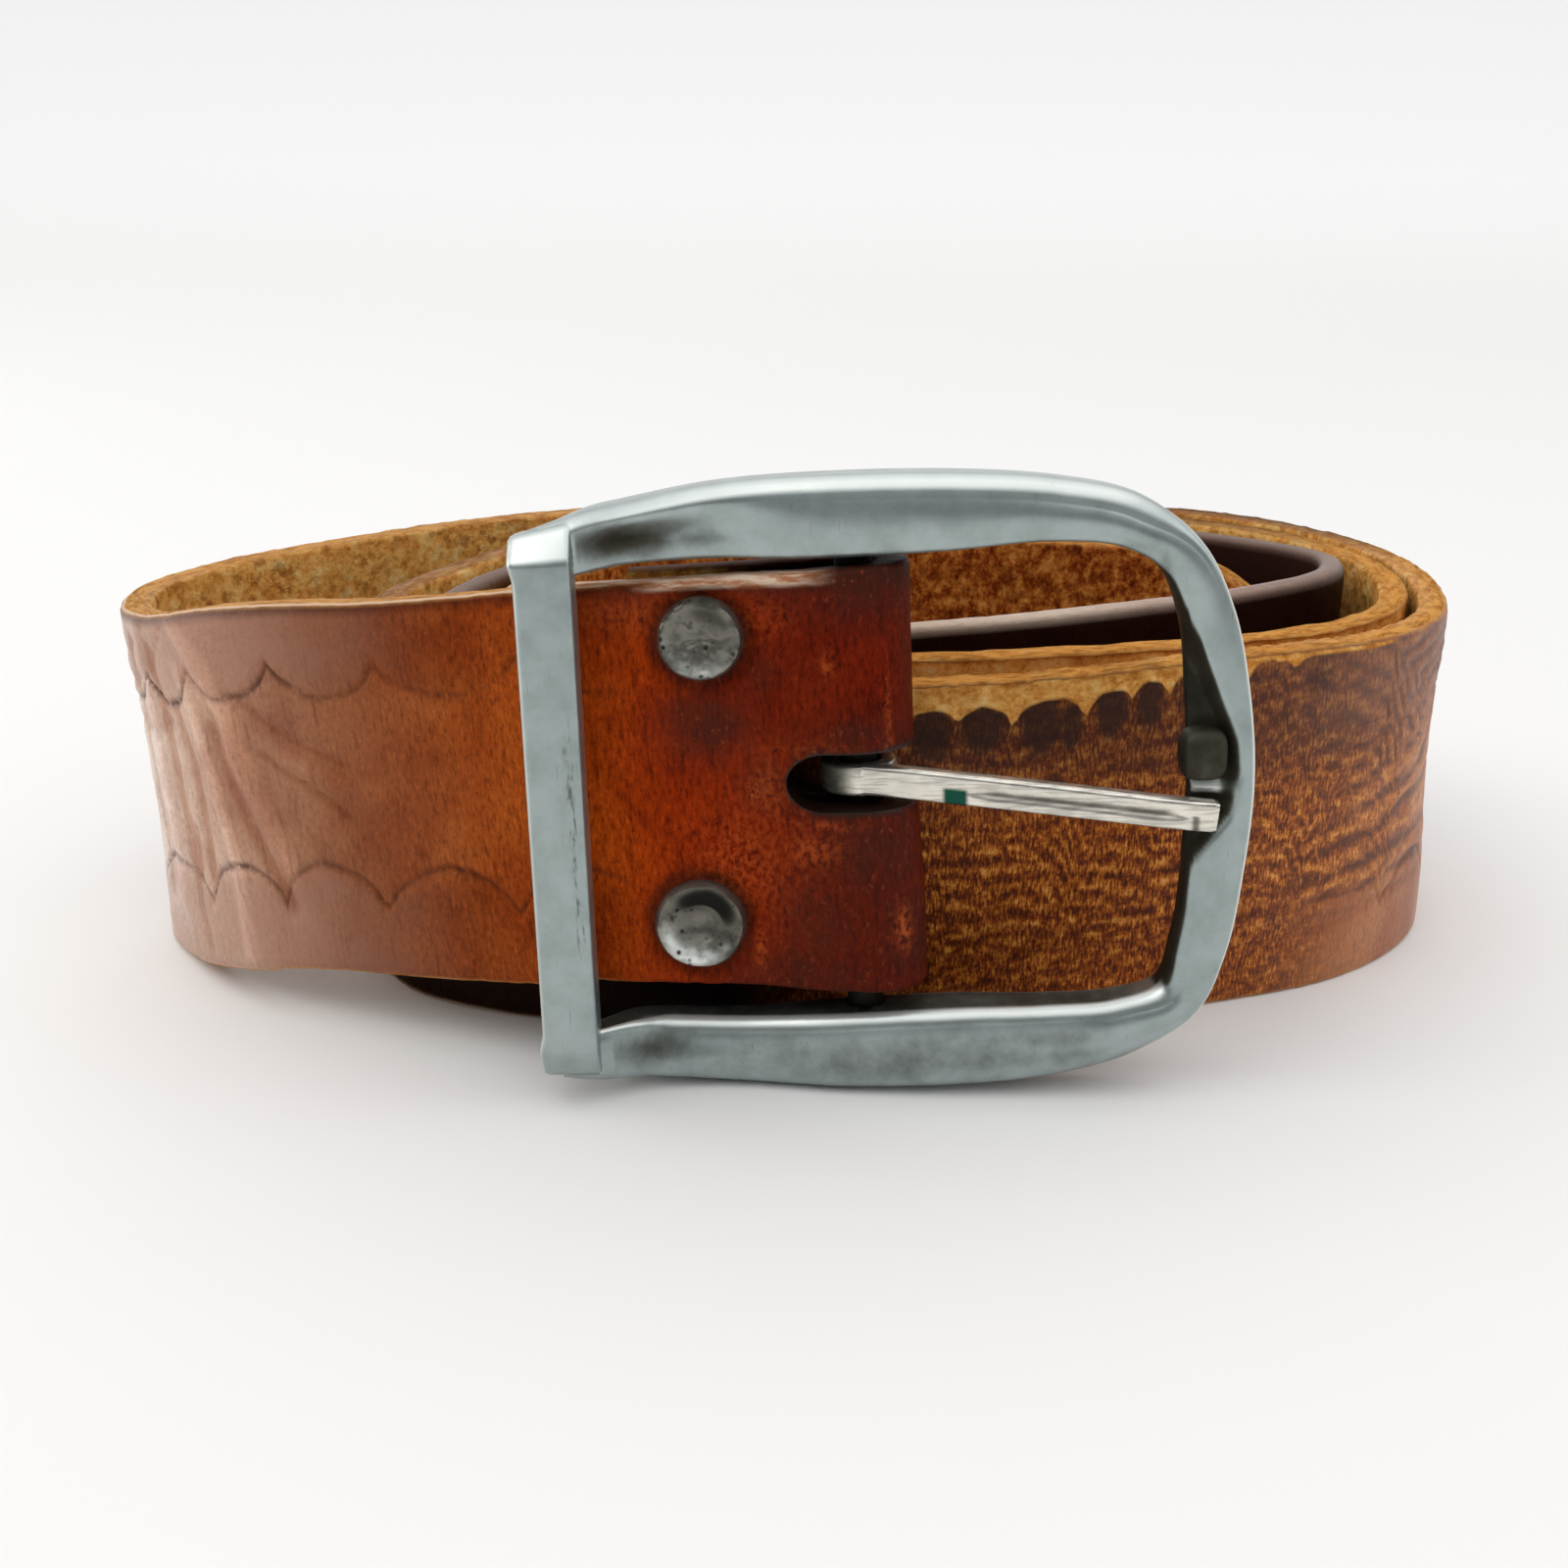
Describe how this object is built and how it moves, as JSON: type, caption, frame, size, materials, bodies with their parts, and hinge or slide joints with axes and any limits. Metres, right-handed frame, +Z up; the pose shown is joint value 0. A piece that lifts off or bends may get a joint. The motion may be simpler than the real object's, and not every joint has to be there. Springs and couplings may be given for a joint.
{
  "type": "coiled leather belt with buckle",
  "caption": "Leather belt strap coiled on its edge, folded and riveted round the centre bar of a metal buckle with a hinged tongue.",
  "frame": {"origin": "middle of the coiled belt's outline, on the surface that the strap's lower edge stands on", "axes": "+X to the right and +Y to the back as seen from the buckle's side, +Z up"},
  "size_m": [0.143, 0.0964, 0.0585],
  "materials": {
    "leather": "worn oiled leather, satin",
    "frame_metal": "worn satin plating",
    "tongue_metal": "rubbed bright plating",
    "rivet_metal": "pitted and tarnished"
  },
  "bodies": {
    "strap": {"strap": "leather", "rivet_upper": "rivet_metal", "rivet_lower": "rivet_metal"},
    "frame": {"buckle_frame": "frame_metal"},
    "tongue": {"tongue": "tongue_metal"}
  },
  "joints": [
    {"name": "frame_hinge", "type": "hinge", "parent": "strap", "child": "frame", "pos_m": [0.00432, -0.03821, 0.02904], "axis": [-0.0523, 0.0697, 0.9962], "range_deg": [-3, 16]},
    {"name": "tongue_hinge", "type": "hinge", "parent": "frame", "child": "tongue", "pos_m": [0.00432, -0.03821, 0.02904], "axis": [0.0523, -0.0697, -0.9962], "range_deg": [0, 100]}
  ]
}
